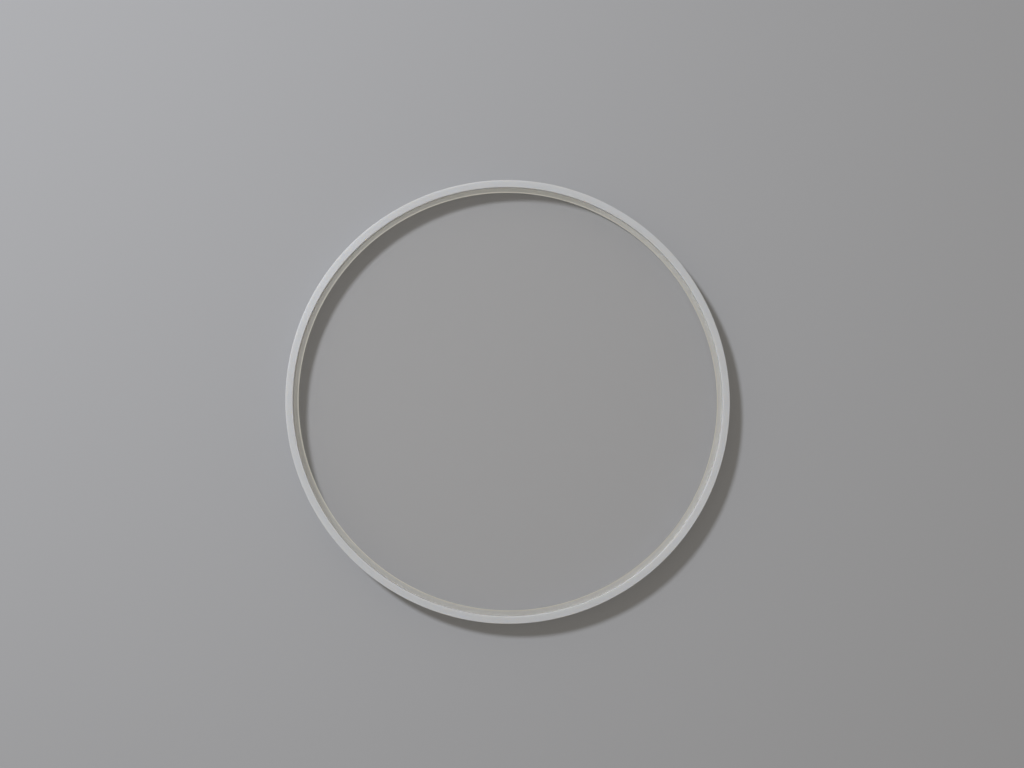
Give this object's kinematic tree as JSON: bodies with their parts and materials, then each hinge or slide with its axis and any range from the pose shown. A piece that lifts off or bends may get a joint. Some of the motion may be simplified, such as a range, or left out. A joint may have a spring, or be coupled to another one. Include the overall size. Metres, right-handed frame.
{
  "type": "watch crystal",
  "caption": "Flat round glass watch crystal seated in a white nylon gasket ring with a supporting lip, ready to press into a watch case.",
  "frame": {"origin": "centre of the gasket's bottom face, on the axis of the crystal", "axes": "+Z out of the watch's face, along the axis of the crystal; X and Y are any pair across it, because the part is round"},
  "size_m": [0.031, 0.031, 0.002],
  "materials": {
    "white_nylon": "satin, slightly translucent moulded nylon",
    "mineral_glass": "polished faces with a finely ground bevel and edge"
  },
  "bodies": {
    "gasket": {"crystal_gasket": "white_nylon"},
    "glass": {"crystal_glass": "mineral_glass"}
  },
  "joints": [
    {"name": "glass_lift", "type": "slide", "parent": "gasket", "child": "glass", "axis": [0, 0, 1], "range_m": [0, 0.003]}
  ]
}
